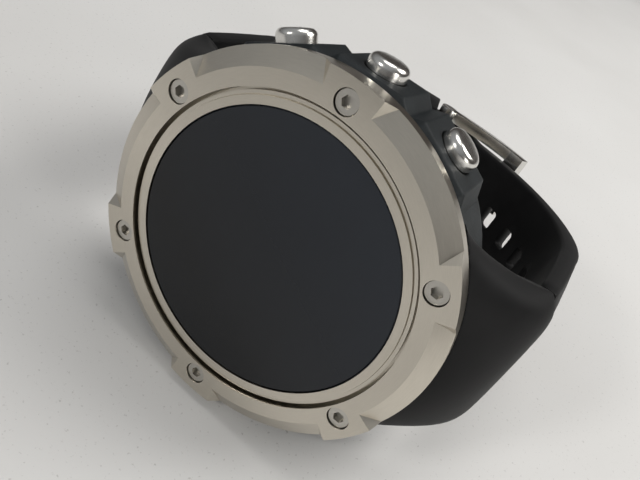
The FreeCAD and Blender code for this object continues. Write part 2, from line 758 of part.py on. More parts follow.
def make_back():
    outside = CASE_BACK + " + back_thickness"
    disc = turned("back_disc", [
        ("0", CASE_BACK), ("back_radius", CASE_BACK),
        ("back_radius", outside + " - back_bevel"), ("back_radius - back_bevel", outside),
        ("0", outside)])
    back = value_of(CASE_BACK)
    window_seat = back + size("optic_board_thickness")
    tools = [rod("window_hole", "window_radius - window_lip", "back_thickness", Y_AXIS * back,
                 Y_AXIS),
             rod("window_recess", "window_radius", "back_thickness", Y_AXIS * window_seat,
                 Y_AXIS)]
    head_depth = value_of(outside + " - back_screw_head_height - back_screw_sink")
    socket_floor = size("back_screw_head_height") - size("back_socket_depth")
    screws = []
    for index, place in enumerate(back_screw_places(back)):
        seat = place + Y_AXIS * (head_depth - back)
        tools.append(rod("back_hole_%d" % index, "back_screw_radius + back_screw_clearance",
                         "back_thickness", place, Y_AXIS))
        tools.append(rod("back_recess_%d" % index, "back_screw_head + back_screw_clearance",
                         "back_thickness", seat, Y_AXIS))
        head = rod("back_head_%d" % index, "back_screw_head",
                   "back_screw_head_height", seat, Y_AXIS)
        shank = rod("back_shank_%d" % index, "back_screw_radius", "back_screw_length",
                    seat - Y_AXIS * size("back_screw_length"), Y_AXIS)
        socket = hexagon("back_socket_%d" % index, "back_screw_radius * 2",
                         "back_screw_head_height", seat + Y_AXIS * socket_floor, Y_AXIS)
        screws.append(cut("back_screw_%d" % index,
                          joined("back_screw_body_%d" % index, [head, shank]), [socket]))
    pins = []
    for index, place in enumerate(contact_places(back - size("contact_inset"))):
        tools.append(rod("contact_hole_%d" % index, "contact_radius",
                         "back_thickness + contact_inset * 2", place, Y_AXIS))
        pins.append(rod("contact_%d" % index, "contact_radius",
                        "back_thickness + contact_inset + contact_stand", place, Y_AXIS))
    keep(cut("back_cut", disc, tools), "back_cover")
    keep(grouped("back_screw_set", screws), "back_screws")
    keep(grouped("contact_set", pins), "charging_contacts")
    window = rod("window", "window_radius - window_gap", "window_thickness",
                 Y_AXIS * window_seat, Y_AXIS)
    keep(grouped("window_disc", [window]), "sensor_window")
    keep(grouped("optic_disc", [rod("optic_board_disc", "optic_board_radius",
                                    "optic_board_thickness", Y_AXIS * back, Y_AXIS)]),
         "optical_sensor")
    keep(ring("back_gasket_ring", "back_opening_radius + gasket_width / 2",
              "back_opening_radius + gasket_width * 1.5", CASE_BACK + " - gasket_thickness",
              CASE_BACK), "back_gasket")


# ---------------------------------------------------------------- pushers

def along_pusher(item, angle):
    """Lay a piece that was turned about Y along one pusher's axis."""
    turn = FreeCAD.Rotation(Y_AXIS, radial(angle))
    item.Placement = FreeCAD.Placement(Y_AXIS * size("pusher_depth"), turn)
    return item


def make_pushers():
    cap_foot = "pusher_cap_top - pusher_cap_height"
    seals = []
    for index, angle in enumerate(pusher_angles(), start=1):
        pusher = turned("pusher_body_%d" % index, [
            ("0", "pusher_stem_end"), ("pusher_stem_radius", "pusher_stem_end"),
            ("pusher_stem_radius", cap_foot), ("pusher_cap_radius", cap_foot),
            ("pusher_cap_radius", "pusher_cap_top"), ("0", "pusher_cap_top")])
        round_edge(pusher, "pusher_cap_radius", "pusher_cap_top", "pusher_cap_round")
        keep(along_pusher(pusher, angle), "pusher_%d" % index)
        spring = ring("spring_tube_%d" % index, "spring_radius - spring_wall", "spring_radius",
                      "pusher_pocket_floor", cap_foot)
        keep(along_pusher(spring, angle), "pusher_spring_%d" % index)
        clip_front = "case_cavity_radius - clip_gap * 2 - clip_thickness"
        clip = ring("clip_ring_%d" % index, "pusher_stem_radius", "clip_radius",
                    clip_front, clip_front + " + clip_thickness")
        keep(along_pusher(clip, angle), "pusher_clip_%d" % index)
        seal = ring("seal_ring_%d" % index, "pusher_stem_radius + stem_running_gap",
                    "seal_radius", "case_cavity_radius + seal_inset",
                    "case_cavity_radius + seal_inset + seal_thickness")
        seals.append(along_pusher(seal, angle))
    keep(grouped("seal_set", seals), "pusher_seals")


# ---------------------------------------------------------------- strap

def seam_angle():
    """Angle round the loop where the strap leaves the moulded end pieces."""
    drop = size("loop_centre_depth") - size("strap_seam_depth") - size("strap_seam_gap")
    return 90.0 + math.degrees(math.asin(drop / size("loop_front_length")))


def strap_thickness_at(angle):
    """Even thickness round the loop's rear, growing from there to the seam."""
    even = size("even_thickness_angle")
    share = min(1.0, max(0.0, (abs(angle) - even) / (seam_angle() - even)))
    return size("strap_thickness") + share * (size("strap_lug_thickness") - size("strap_thickness"))


def lap_offset(angle):
    """How far the long strap rides out where it passes over the short one."""
    lap = size("strap_thickness") + size("strap_lap_gap")
    start = size("ramp_start_angle")
    end = size("ramp_end_angle")
    share = min(1.0, max(0.0, (end - angle) / (end - start)))
    return lap * share * share * (3 - 2 * share)


def strap_outline(first, last, lift):
    """Closed plan outline of a strap between two angles, its outer side moved by lift(angle)."""
    count = max(6, int(abs(last - first) / 3.5))
    angles = [first + (last - first) * step / count for step in range(count + 1)]
    half = size("strap_thickness") / 2
    outer = [loop_point(angle, lift(angle) + half) for angle in angles]
    inner = [loop_point(angle, lift(angle) + half - strap_thickness_at(angle))
             for angle in reversed(angles)]
    outer_curve = Part.BSplineCurve()
    outer_curve.interpolate(outer)
    inner_curve = Part.BSplineCurve()
    inner_curve.interpolate(inner)
    return Part.Wire([outer_curve.toShape(), Part.LineSegment(outer[-1], inner[0]).toShape(),
                      inner_curve.toShape(), Part.LineSegment(inner[-1], outer[0]).toShape()])


def strap_half_width_at(depth):
    rear = size("loop_centre_depth") + size("loop_rear_length")
    share = (depth - size("strap_seam_depth")) / (rear - size("strap_seam_depth"))
    lug = size("strap_lug_width") / 2
    return lug + share * (size("strap_buckle_width") / 2 - lug)


def strap_taper():
    """Wedge-shaped slab that gives both straps their taper towards the buckle."""
    near = 0.0
    far = size("loop_centre_depth") + size("loop_rear_length") + 10.0
    reach = size("loop_half_width") + 10.0
    outline = closed_line([
        Vector(-reach, near, -strap_half_width_at(near)),
        Vector(-reach, far, -strap_half_width_at(far)),
        Vector(-reach, far, strap_half_width_at(far)),
        Vector(-reach, near, strap_half_width_at(near))])
    return Part.Face(outline).extrude(Vector(2 * reach, 0, 0))


def loop_box(angle, offset, length, thickness, width):
    """Box centred on a loop point, its sides along the strap, outwards and along Z."""
    solid = Part.makeBox(length, thickness, width)
    solid.translate(Vector(-length / 2, -thickness / 2, -width / 2))
    outward = loop_outward(angle)
    turn = -math.degrees(math.atan2(outward.x, outward.y))
    solid.rotate(HEAD_CENTRE, Z_AXIS, turn)
    solid.translate(loop_point(angle, offset))
    return solid


def pin_centre(side):
    """Axis of a strap pin, just inside the moulded end piece."""
    outer = loop_point(seam_angle(), size("strap_thickness") / 2)
    return Vector(side * (outer.x - size("pin_inset")),
                  size("strap_seam_depth") - size("pin_rise"), 0)


def upright(centre, radius, half_height):
    """Cylinder along Z through a plan point."""
    return Part.makeCylinder(radius, 2 * half_height, centre - Z_AXIS * half_height, Z_AXIS)


def knuckle(side, gap):
    """The strap's tongue under the end piece, or with a gap the slot for it."""
    centre = pin_centre(side)
    radius = size("knuckle_radius") + gap
    half_height = size("knuckle_half_width") + gap
    reach = size("strap_seam_depth") + size("strap_seam_gap") + size("seam_overlap") - centre.y
    web = Part.makeBox(2 * radius, reach, 2 * half_height,
                       centre - Vector(radius, 0, half_height))
    return upright(centre, radius, half_height).fuse(web)


def tongue_line():
    """Plan points of the tongue: at the bar, at its knee and at its tip."""
    crossbar_top = (size("strap_thickness") / 2 + size("frame_strap_gap")
                    + size("frame_side_thickness"))
    tip_offset = (crossbar_top + size("tongue_rest_gap") + size("tongue_thickness") / 2
                  + size("tongue_tip_lift"))
    return [bar_centre(), loop_point(size("tongue_knee_angle"), size("tongue_knee_rise")),
            loop_point(size("tongue_tip_angle"), tip_offset)]


def thick_line(points, half):
    """Closed outline at a distance on both sides of a bent line."""
    left = []
    right = []
    for index, point in enumerate(points):
        before = points[max(index - 1, 0)]
        after = points[min(index + 1, len(points) - 1)]
        arriving = (point - before).normalize() if index > 0 else (after - point).normalize()
        leaving = (after - point).normalize() if index < len(points) - 1 else arriving
        middle = (arriving + leaving).normalize()
        side = Vector(-middle.y, middle.x, 0) * (half / middle.dot(leaving))
        left.append(point + side)
        right.append(point - side)
    return closed_line(left + right[::-1])


def tongue_solid(gap):
    """The tongue, or with a gap the room that it needs."""
    half_width = size("tongue_half_width") + gap
    line = tongue_line()
    line[-1] = line[-1] + (line[-1] - line[-2]).normalize() * gap
    blade = extruded_plan(thick_line(line, size("tongue_thickness") / 2 + gap), half_width)
    return blade.fuse(upright(bar_centre(), size("tongue_eye_radius") + gap, half_width))


def make_long_strap():
    seam = seam_angle()
    outline = strap_outline(seam, size("tail_end_angle"), lap_offset)
    solid = extruded_plan(outline, size("strap_lug_width")).common(strap_taper())
    solid = solid.fuse(knuckle(1, 0.0))
    solid = solid.cut(upright(pin_centre(1), size("pin_radius"), size("strap_lug_width")))
    step = size("hole_step_angle")
    first = size("hole_first_angle")
    indexes = list(range(int(size("holes_ahead")))) + [
        -2 - number for number in range(int(size("holes_behind")))]
    for index in indexes:
        angle = first + step * index
        solid = solid.cut(loop_box(angle, lap_offset(angle), size("hole_length"),
                                   size("strap_lug_thickness") * 2, size("hole_width")))
    for swing in (0.0, 1.0, 2.0):
        room = tongue_solid(size("tongue_gap"))
        room.rotate(bar_centre(), Z_AXIS, swing * size("buckle_swing"))
        solid = solid.cut(room)
    keep(free_shape("long_strap_solid", solid), "long_strap")


def make_short_strap():
    seam = seam_angle()
    outline = strap_outline(-seam, size("bar_angle"), lambda angle: 0.0)
    solid = extruded_plan(outline, size("strap_lug_width")).common(strap_taper())
    round_end = upright(bar_centre(), size("strap_thickness") / 2,
                        strap_half_width_at(bar_centre().y))
    solid = solid.fuse(round_end).fuse(knuckle(-1, 0.0))
    solid = solid.cut(upright(bar_centre(), size("bar_radius"), size("strap_lug_width")))
    solid = solid.cut(upright(pin_centre(-1), size("pin_radius"), size("strap_lug_width")))
    notch_half = size("tongue_half_width") + size("tongue_gap")
    notch = upright(bar_centre(), size("tongue_eye_radius") + size("tongue_gap"), notch_half)
    keep(free_shape("short_strap_solid", solid.cut(notch)), "short_strap")


def end_piece_section(rise):
    """Plan outline of a moulded end piece at a height: it flares from the bezel to the seam.

    Above its flat middle the front falls back as a quarter of an ellipse, down to the rim.
    """
    flat = size("end_flat_half_height")
    share = max(0.0, (abs(rise) - flat) / (size("strap_lug_width") / 2 - flat))
    fall_back = 1.0 - math.sqrt(max(0.0, 1.0 - share * share))
    outer_x = (loop_point(seam_angle(), size("strap_thickness") / 2).x
               - size("end_crown") * fall_back)
    front = size("bezel_thickness") + size("end_bezel_gap") + size("end_rim_depth") * fall_back
    start_x = (size("bezel_outer_radius") + size("end_bezel_gap")
               - size("end_crown") * fall_back)
    width = outer_x - start_x
    seam_depth = size("strap_seam_depth")
    fall = seam_depth - front
    flare = Part.BSplineCurve()
    flare.interpolate([
        Vector(start_x, front, rise),
        Vector(start_x + 0.42 * width, front + 0.09 * fall, rise),
        Vector(start_x + 0.76 * width, front + 0.34 * fall, rise),
        Vector(start_x + 0.95 * width, front + 0.66 * fall, rise),
        Vector(outer_x, seam_depth, rise)])
    inner_x = (loop_point(seam_angle(), size("strap_thickness") / 2).x
               - size("strap_lug_thickness"))
    root_x = size("case_radius") * 0.55
    corners = [Vector(outer_x, seam_depth, rise), Vector(inner_x, seam_depth, rise),
               Vector(inner_x - size("end_step_width"), size("end_depth"), rise),
               Vector(root_x, size("end_depth"), rise), Vector(root_x, front, rise),
               Vector(start_x, front, rise)]
    sides = [Part.LineSegment(corners[index], corners[index + 1]).toShape()
             for index in range(len(corners) - 1)]
    return Part.Wire([flare.toShape()] + sides)


def end_piece_wing():
    """Flank of an end piece beside the case, tapering from the case's side to the strap."""
    lug = size("strap_lug_width") / 2
    root = size("end_root_half_height")
    root_x = math.sqrt(size("case_radius") ** 2 - root ** 2) + size("end_wing_overlap")
    shoulder_x = size("case_radius") + size("end_wing_shoulder")
    middle_rise = (root + lug) / 2 - size("end_wing_hollow")
    upper = [Vector(root_x, 0, root), Vector((root_x + shoulder_x) / 2, 0, middle_rise),
             Vector(shoulder_x, 0, lug)]
    lower = [Vector(point.x, 0, -point.z) for point in reversed(upper)]
    face = Part.Face(closed_line(upper + lower))
    face.translate(Y_AXIS * size("end_wing_front"))
    return face.extrude(Y_AXIS * (size("end_depth") - size("end_wing_front")))


def make_strap_ends():
    lug = size("strap_lug_width") / 2
    flat = size("end_flat_half_height")
    rises = [flat + (lug - flat) * share for share in (0.0, 0.5, 0.8, 0.95, 1.0)]
    sections = [end_piece_section(rise) for rise in [-rise for rise in reversed(rises)] + rises]
    solid = Part.makeLoft(sections, True, True).fuse(end_piece_wing())
    inner_radius = size("case_radius") + size("end_case_gap")
    solid = solid.cut(Part.makeCylinder(inner_radius, 2 * size("end_depth"), HEAD_CENTRE, Y_AXIS))
    solid = solid.cut(knuckle(1, size("knuckle_gap")))
    solid = solid.cut(upright(pin_centre(1), size("pin_radius"), size("pin_half_length")))
    right = free_shape("end_piece_solid", solid)
    mirror = doc.addObject("Part::Mirroring", "end_piece_mirror")
    mirror.Source = right
    mirror.Normal = X_AXIS
    keep(grouped("end_right", [right]), "strap_end_right")
    keep(grouped("end_left", [mirror]), "strap_end_left")
    pins = [rod("pin_%d" % index, "pin_radius", "pin_half_length * 2",
                pin_centre(side) - Z_AXIS * size("pin_half_length"), Z_AXIS)
            for index, side in enumerate((1, -1))]
    keep(grouped("pin_set", pins), "strap_pins")


# ---------------------------------------------------------------- buckle and keepers

def frame_strip(first, last):
    """Plan outline of the buckle's frame, rising from the bar to outside the strap."""
    start = size("bar_angle")
    end = size("frame_end_angle")
    thickness = size("frame_side_thickness")
    end_offset = size("strap_thickness") / 2 + size("frame_strap_gap") + thickness / 2
    count = 6
    outer = []
    inner = []
    for step in range(count + 1):
        angle = first + (last - first) * step / count
        share = min(1.0, max(0.0, (angle - start) / (end - start)))
        offset = end_offset * share
        outer.append(loop_point(angle, offset + thickness / 2))
        inner.append(loop_point(angle, offset - thickness / 2))
    return closed_line(outer + inner[::-1])


def make_buckle():
    half = frame_half_width()
    inside = half - size("frame_side_width")
    bar_half_angle = math.degrees(size("frame_bar_length") / 2 / size("loop_rear_length"))
    end = size("frame_end_angle")
    rails = extruded_plan(frame_strip(size("bar_angle"), end + bar_half_angle), half)
    eyes = upright(bar_centre(), size("frame_eye_radius"), half)
    rails = rails.fuse(eyes)
    beyond = 4 * size("loop_front_length")
    between = Part.makeBox(beyond, beyond, 2 * inside, Vector(-beyond / 2, -beyond / 2, -inside))
    rails = rails.cut(between)
    crossbar = extruded_plan(frame_strip(end - bar_half_angle, end + bar_half_angle), half)
    solid = rails.fuse(crossbar)
    solid = solid.cut(upright(bar_centre(), size("bar_radius") + size("bar_running_gap"), 2 * half))
    keep(free_shape("buckle_frame_solid", solid), "buckle_frame")
    tongue = tongue_solid(0.0)
    tongue = tongue.cut(upright(bar_centre(), size("bar_radius") + size("bar_running_gap"), half))
    keep(free_shape("buckle_tongue_solid", tongue), "buckle_tongue")
    bar = rod("bar_rod", "bar_radius", "2 * (strap_buckle_width / 2 + frame_side_gap"
              " + frame_side_width)", bar_centre() - Z_AXIS * half, Z_AXIS)
    keep(grouped("bar_group", [bar]), "buckle_bar")


def keeper_solid(angle):
    gap = size("keeper_gap")
    wall = size("keeper_wall")
    low = -size("strap_thickness") / 2 - gap
    high = size("strap_thickness") * 1.5 + size("strap_lap_gap") + gap
    half_width = strap_half_width_at(loop_point(angle).y) + gap
    length = size("keeper_length")
    middle = (low + high) / 2
    outside = loop_box(angle, middle, length, high - low + 2 * wall, 2 * (half_width + wall))
    hollow = loop_box(angle, middle, length + 2, high - low, 2 * half_width)
    return outside.cut(hollow)


def make_keepers():
    keep(free_shape("fixed_keeper_solid", keeper_solid(size("fixed_keeper_angle"))),
         "fixed_keeper")
    keep(free_shape("free_keeper_solid", keeper_solid(size("free_keeper_angle"))),
         "free_keeper")


# ---------------------------------------------------------------- build, check and export

make_bezel()
make_bezel_screws()
make_lens_stack()
make_display()
make_inner_frame()
make_electronics()
make_case()
make_depth_sensor()
make_back()
make_pushers()
make_long_strap()
make_short_strap()
make_strap_ends()
make_buckle()
make_keepers()
doc.recompute()


def leaning_box():
    """Box round the whole watch once it leans back."""
    box = FreeCAD.BoundBox()
    for part in parts.values():
        shape = part.Shape.copy()
        shape.Placement = LEAN.multiply(shape.Placement)
        box.add(shape.optimalBoundingBox(False))
    return box


def standing():
    """Placement that leans the watch back and stands it on z = 0 over the origin."""
    box = leaning_box()
    shift = Vector(-(box.XMin + box.XMax) / 2, -(box.YMin + box.YMax) / 2, -box.ZMin)
    return FreeCAD.Placement(shift, FreeCAD.Rotation()).multiply(LEAN)


STANDING = standing()
for part in parts.values():
    part.Placement = STANDING.multiply(part.Placement)
doc.recompute()

faults = [item.Name for item in doc.Objects
          if "Invalid" in item.State or "Error" in item.State]
faults += [label for label, part in parts.items()
           if part.Shape.isNull() or not part.Shape.isValid() or not part.Shape.Solids]
if faults:
    raise SystemExit("not built: " + ", ".join(faults))

os.makedirs("parts", exist_ok=True)
for label, part in parts.items():
    part.Shape.exportStep("parts/%s.step" % label)
print("parts:", len(parts), "lean:", round(lean_angle(), 3))
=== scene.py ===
"""Looks of a wrist dive computer lying on its side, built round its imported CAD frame."""

import bpy
import bmesh
import json
import math
from mathutils import Matrix, Vector


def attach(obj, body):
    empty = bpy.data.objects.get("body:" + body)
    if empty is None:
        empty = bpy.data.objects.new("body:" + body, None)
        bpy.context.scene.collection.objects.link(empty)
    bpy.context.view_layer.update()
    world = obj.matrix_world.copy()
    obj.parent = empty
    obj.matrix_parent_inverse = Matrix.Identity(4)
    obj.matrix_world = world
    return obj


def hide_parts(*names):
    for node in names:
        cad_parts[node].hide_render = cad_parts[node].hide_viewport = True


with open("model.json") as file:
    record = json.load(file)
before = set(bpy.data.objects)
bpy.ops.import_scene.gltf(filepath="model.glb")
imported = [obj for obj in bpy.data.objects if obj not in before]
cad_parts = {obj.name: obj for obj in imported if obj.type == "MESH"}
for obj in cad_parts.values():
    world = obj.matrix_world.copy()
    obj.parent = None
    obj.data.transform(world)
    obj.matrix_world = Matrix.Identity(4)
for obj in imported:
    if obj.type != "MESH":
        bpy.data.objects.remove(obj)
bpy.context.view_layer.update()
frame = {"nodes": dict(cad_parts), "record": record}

MM = 0.001
ROOT = "watch"

# ---------------------------------------------------------------- the head's own frame
# Across the dial is X, depth from the bezel's top towards the wrist is Y, pushers are at +Z.

CASE_BACK = 14.6
BACK_THICKNESS = 1.8
BEZEL_RADIUS = 25.5
CASE_RADIUS = 24.3
FACE_POINT_X = 12.0


def head_matrix():
    """The leaning head's place in the scene, read from the face that rests on the wrist."""
    mount = [item for item in frame["record"]["mounts"] if item["name"] == "wrist_side_face"][0]
    depth_axis = Vector(mount["axis"]).normalized()
    lean = math.atan2(-depth_axis.z, depth_axis.y)
    turn = Matrix.Rotation(-lean, 4, "X")
    from_origin = turn @ (Vector((FACE_POINT_X, CASE_BACK + BACK_THICKNESS, 0.0)) * MM)
    return Matrix.Translation(Vector(mount["pos_m"]) - from_origin) @ turn


HEAD = head_matrix()


def placed(x, y, z):
    """Scene point of a head point given in millimetres."""
    return HEAD @ (Vector((x, y, z)) * MM)


# ---------------------------------------------------------------- camera

CAMERA_PLACE = (20.36, -58.49, 41.51)
CAMERA_RIGHT = (0.76167, 0.45938, 0.45699)
CAMERA_DOWN = (0.61120, -0.27513, -0.74212)
CAMERA_LENS = 33.32
SENSOR_WIDTH = 36.0
CLIP_START = 0.005
CLIP_END = 20.0


def make_camera():
    """Camera at the photograph's place, solved in the head's frame."""
    data = bpy.data.cameras.new("view")
    data.lens = CAMERA_LENS
    data.sensor_width = SENSOR_WIDTH
    data.clip_start = CLIP_START
    data.clip_end = CLIP_END
    camera = bpy.data.objects.new("view", data)
    bpy.context.collection.objects.link(camera)
    turn = HEAD.to_3x3()
    right = (turn @ Vector(CAMERA_RIGHT)).normalized()
    up = (turn @ -Vector(CAMERA_DOWN)).normalized()
    back = right.cross(up).normalized()
    up = back.cross(right)
    axes = Matrix((right, up, back)).transposed().to_4x4()
    camera.matrix_world = Matrix.Translation(placed(*CAMERA_PLACE)) @ axes
    bpy.context.scene.camera = camera


make_camera()

# ---------------------------------------------------------------- materials


def node(tree, kind, **inputs):
    """New shader node with some of its sockets set."""
    made = tree.nodes.new(kind)
    for name, value in inputs.items():
        made.inputs[name.replace("_", " ")].default_value = value
    return made


def new_material(name, **values):
    """Material with one Principled shader; returns the material, its tree and its shader."""
    material = bpy.data.materials.new(name)
    material.use_nodes = True
    tree = material.node_tree
    shader = tree.nodes["Principled BSDF"]
    for key, value in values.items():
        shader.inputs[key.replace("_", " ")].default_value = value
    return material, tree, shader


def head_coordinates(tree):
    """Position in the head's frame, in metres."""
    place = node(tree, "ShaderNodeTexCoord")
    mapping = tree.nodes.new("ShaderNodeMapping")
    mapping.vector_type = "TEXTURE"
    mapping.inputs["Location"].default_value = HEAD.to_translation()
    mapping.inputs["Rotation"].default_value = HEAD.to_euler()
    tree.links.new(place.outputs["Object"], mapping.inputs["Vector"])
    return mapping.outputs["Vector"]


def noise(tree, coordinates, scale, detail=3.0, roughness=0.5):
    """Procedural noise, 0 to 1."""
    made = node(tree, "ShaderNodeTexNoise", Scale=scale, Detail=detail, Roughness=roughness)
    tree.links.new(coordinates, made.inputs["Vector"])
    return made.outputs["Fac"]


def object_coordinates(tree):
    """Position in the object's own frame, in metres."""
    return node(tree, "ShaderNodeTexCoord").outputs["Object"]


def stretched(tree, coordinates, scales):
    """Coordinates multiplied axis by axis."""
    mapping = tree.nodes.new("ShaderNodeMapping")
    mapping.inputs["Scale"].default_value = scales
    tree.links.new(coordinates, mapping.inputs["Vector"])
    return mapping.outputs["Vector"]


def ramp(tree, value, low, high, low_colour, high_colour):
    """Colour between two stops of a value."""
    made = tree.nodes.new("ShaderNodeValToRGB")
    made.color_ramp.elements[0].position = low
    made.color_ramp.elements[1].position = high
    made.color_ramp.elements[0].color = (*low_colour, 1.0)
    made.color_ramp.elements[1].color = (*high_colour, 1.0)
    tree.links.new(value, made.inputs["Fac"])
    return made.outputs["Color"]


def spread(tree, value, low, high):
    """A 0 to 1 value mapped to a range."""
    made = node(tree, "ShaderNodeMapRange", To_Min=low, To_Max=high)
    tree.links.new(value, made.inputs["Value"])
    return made.outputs["Result"]


def bump(tree, shader, height, strength, distance):
    """Surface relief from a height, linked to the shader."""
    made = node(tree, "ShaderNodeBump", Strength=strength, Distance=distance)
    tree.links.new(height, made.inputs["Height"])
    tree.links.new(made.outputs["Normal"], shader.inputs["Normal"])
    return made


def polar(tree, coordinates):
    """Radius and angle round the dial as a vector that is even along each circle."""
    parts = node(tree, "ShaderNodeSeparateXYZ")
    tree.links.new(coordinates, parts.inputs["Vector"])
    flat = node(tree, "ShaderNodeCombineXYZ")
    tree.links.new(parts.outputs["X"], flat.inputs["X"])
    tree.links.new(parts.outputs["Z"], flat.inputs["Y"])
    length = tree.nodes.new("ShaderNodeVectorMath")
    length.operation = "LENGTH"
    tree.links.new(flat.outputs["Vector"], length.inputs[0])
    angle = tree.nodes.new("ShaderNodeMath")
    angle.operation = "ARCTAN2"
    tree.links.new(parts.outputs["Z"], angle.inputs[0])
    tree.links.new(parts.outputs["X"], angle.inputs[1])
    result = node(tree, "ShaderNodeCombineXYZ")
    tree.links.new(length.outputs["Value"], result.inputs["X"])
    tree.links.new(angle.outputs["Value"], result.inputs["Y"])
    tree.links.new(parts.outputs["Y"], result.inputs["Z"])
    return result.outputs["Vector"]


def circular_tangent(tree, shader, coordinates):
    """Brushing direction round the head's axis."""
    axis = HEAD.to_3x3() @ Vector((0, 1, 0))
    turned = tree.nodes.new("ShaderNodeVectorRotate")
    turned.rotation_type = "EULER_XYZ"
    turned.inputs["Rotation"].default_value = HEAD.to_euler()
    tree.links.new(coordinates, turned.inputs["Vector"])
    crossed = tree.nodes.new("ShaderNodeVectorMath")
    crossed.operation = "CROSS_PRODUCT"
    crossed.inputs[0].default_value = axis
    tree.links.new(turned.outputs["Vector"], crossed.inputs[1])
    tree.links.new(crossed.outputs["Vector"], shader.inputs["Tangent"])


def brushed_steel(name, colour, roughness, anisotropy, depth):
    """Steel brushed in circles round the dial, with fine rings and faint handling marks."""
    material, tree, shader = new_material(name, Metallic=1.0, Anisotropic=anisotropy)
    place = head_coordinates(tree)
    rings = noise(tree, stretched(tree, polar(tree, place), (9000.0, 14.0, 900.0)), 1.0, 4.0, 0.7)
    patches = noise(tree, place, 160.0, 3.0, 0.55)
    darker = tuple(channel * 0.92 for channel in colour)
    tree.links.new(ramp(tree, rings, 0.3, 0.7, darker, colour), shader.inputs["Base Color"])
    mixed = tree.nodes.new("ShaderNodeMath")
    mixed.operation = "ADD"
    tree.links.new(spread(tree, rings, roughness - 0.05, roughness + 0.05), mixed.inputs[0])
    tree.links.new(spread(tree, patches, -0.03, 0.04), mixed.inputs[1])
    tree.links.new(mixed.outputs["Value"], shader.inputs["Roughness"])
    circular_tangent(tree, shader, place)
    bump(tree, shader, rings, 0.1, depth)
    return material


def polished_steel(name, colour, roughness):
    """Polished steel with faint wipe marks."""
    material, tree, shader = new_material(name, Metallic=1.0)
    place = object_coordinates(tree)
    marks = noise(tree, stretched(tree, place, (2600.0, 500.0, 900.0)), 1.0, 3.0)
    tree.links.new(spread(tree, marks, roughness, roughness + 0.07), shader.inputs["Roughness"])
    darker = tuple(channel * 0.93 for channel in colour)
    tree.links.new(ramp(tree, marks, 0.35, 0.65, darker, colour), shader.inputs["Base Color"])
    bump(tree, shader, marks, 0.05, 0.00002)
    return material


def silicone(name, colour, roughness):
    """Matte silicone: fine moulded grain, slightly dusty and worn."""
    material, tree, shader = new_material(
        name, Sheen_Weight=0.03, Sheen_Roughness=0.4, Specular_IOR_Level=0.09)
    place = object_coordinates(tree)
    grain = noise(tree, place, 5200.0, 2.0)
    dust = noise(tree, place, 210.0, 5.0, 0.65)
    lighter = tuple(channel * 1.45 + 0.002 for channel in colour)
    tree.links.new(ramp(tree, dust, 0.35, 0.75, colour, lighter), shader.inputs["Base Color"])
    tree.links.new(spread(tree, dust, roughness - 0.06, roughness + 0.1),
                   shader.inputs["Roughness"])
    bump(tree, shader, grain, 0.18, 0.00003)
    return material


def moulded_polymer(name, colour, roughness, edge_radius):
    """Fibre-filled polymer with a spark-eroded grain and softly rounded edges."""
    material, tree, shader = new_material(name, Specular_IOR_Level=0.2)
    place = object_coordinates(tree)
    grain = noise(tree, place, 4200.0, 2.0, 0.6)
    blotches = noise(tree, place, 300.0, 4.0, 0.6)
    lighter = tuple(channel * 1.5 + 0.003 for channel in colour)
    tree.links.new(ramp(tree, blotches, 0.35, 0.7, colour, lighter), shader.inputs["Base Color"])
    tree.links.new(spread(tree, grain, roughness - 0.08, roughness + 0.1),
                   shader.inputs["Roughness"])
    relief = bump(tree, shader, grain, 0.3, 0.00004)
    if edge_radius > 0:
        soft = node(tree, "ShaderNodeBevel", Radius=edge_radius)
        soft.samples = 6
        tree.links.new(soft.outputs["Normal"], relief.inputs["Normal"])
    return material


def dark_glass(name):
    """Clear lens over an unlit display: near black, with a painted reflection that makes it paler
    towards one side, faintly smeared.
    """
    material, tree, shader = new_material(
        name, Specular_IOR_Level=0.26, Coat_Weight=0.12, Coat_Roughness=0.03)
    place = head_coordinates(tree)
    smears = noise(tree, stretched(tree, place, (90.0, 90.0, 40.0)), 1.0, 6.0, 0.68)
    specks = noise(tree, place, 1500.0, 2.0, 0.5)
    # Painted reflection: the base colour grows paler along one slanting direction across the lens,
    # with the smudge noise added on top.
    painted_reflection_slant = tree.nodes.new("ShaderNodeVectorMath")
    painted_reflection_slant.operation = "DOT_PRODUCT"
    painted_reflection_slant.inputs[1].default_value = (15.0, 0.0, 26.0)
    tree.links.new(place, painted_reflection_slant.inputs[0])
    reflection_and_smears = node(tree, "ShaderNodeMath")
    reflection_and_smears.operation = "ADD"
    tree.links.new(painted_reflection_slant.outputs["Value"], reflection_and_smears.inputs[0])
    tree.links.new(spread(tree, smears, 0.30, 0.62), reflection_and_smears.inputs[1])
    tree.links.new(ramp(tree, reflection_and_smears.outputs["Value"], 0.15, 0.95, (0.0022, 0.0028, 0.0042),
                        (0.013, 0.0165, 0.023)), shader.inputs["Base Color"])
    tree.links.new(spread(tree, smears, 0.10, 0.30), shader.inputs["Roughness"])
    bump(tree, shader, specks, 0.02, 0.00001)
    return material


def plain(name, colour, roughness, metallic=0.0):
    """Simple finish for hidden pieces, with a little unevenness."""
    material, tree, shader = new_material(name, Metallic=metallic)
    place = object_coordinates(tree)
    uneven = noise(tree, place, 700.0, 3.0)
    darker = tuple(channel * 0.8 for channel in colour)
    tree.links.new(ramp(tree, uneven, 0.3, 0.7, darker, colour), shader.inputs["Base Color"])
    tree.links.new(spread(tree, uneven, roughness - 0.05, roughness + 0.08),
                   shader.inputs["Roughness"])
    return material


